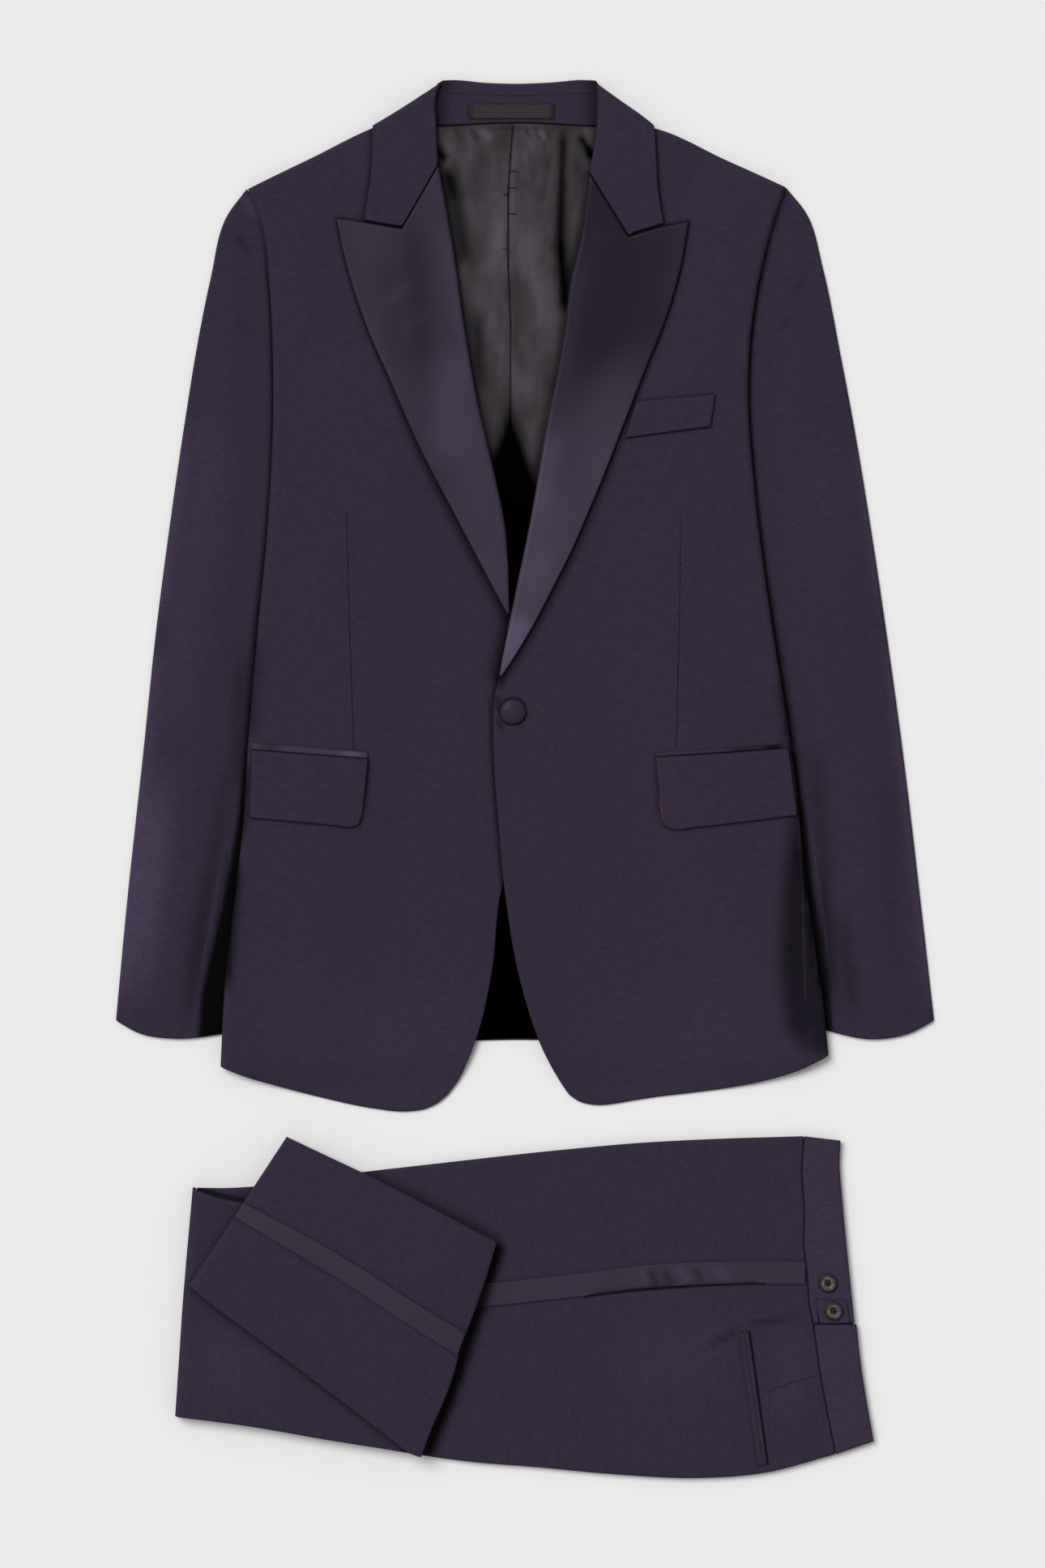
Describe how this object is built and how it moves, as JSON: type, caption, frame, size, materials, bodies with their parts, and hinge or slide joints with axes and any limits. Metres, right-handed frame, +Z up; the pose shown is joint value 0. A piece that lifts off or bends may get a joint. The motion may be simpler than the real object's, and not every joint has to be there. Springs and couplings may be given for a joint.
{
  "type": "tuxedo",
  "caption": "Tuxedo laid flat: a jacket with peak satin lapels and flap pockets, and matching trousers with a side stripe, folded.",
  "frame": {"origin": "centre of the laid set's outline, on the surface it lies on", "axes": "+Z up from the surface, +Y towards the jacket's collar, +X towards the wearer's left side"},
  "size_m": [0.651, 1.1126, 0.0268],
  "materials": {
    "wool": "fine midnight wool, matt",
    "satin": "satin with a soft sheen",
    "lining": "smooth lining",
    "label": "black woven label, bare",
    "horn": "dark horn look"
  },
  "bodies": {
    "root": {"adjuster_tab": "wool", "back_left": "wool", "back_lining": "lining", "back_pocket_jet": "wool", "back_right": "wool", "breast_welt": "wool", "collar_fall": "wool", "collar_leaf_left": "wool", "collar_leaf_right": "wool", "collar_stand": "wool", "flap_left": "wool", "flap_right": "wool", "front_button": "wool", "front_left": "wool", "front_right": "wool", "jet_left": "satin", "jet_right": "satin", "lapel_left": "satin", "lapel_right": "satin", "leg_end_back": "wool", "leg_end_front": "wool", "leg_end_layers": "wool", "leg_end_stripe": "satin", "leg_layers": "wool", "neck_label": "label", "side_stripe": "satin", "tab_button": "horn", "top_sleeve_left": "wool", "top_sleeve_right": "wool", "trouser_back": "wool", "trouser_front": "wool", "turned_leg": "wool", "turned_leg_layers": "wool", "under_sleeve_left": "wool", "under_sleeve_right": "wool", "waistband_back": "wool", "waistband_button": "horn", "waistband_front": "wool"}
  },
  "joints": []
}
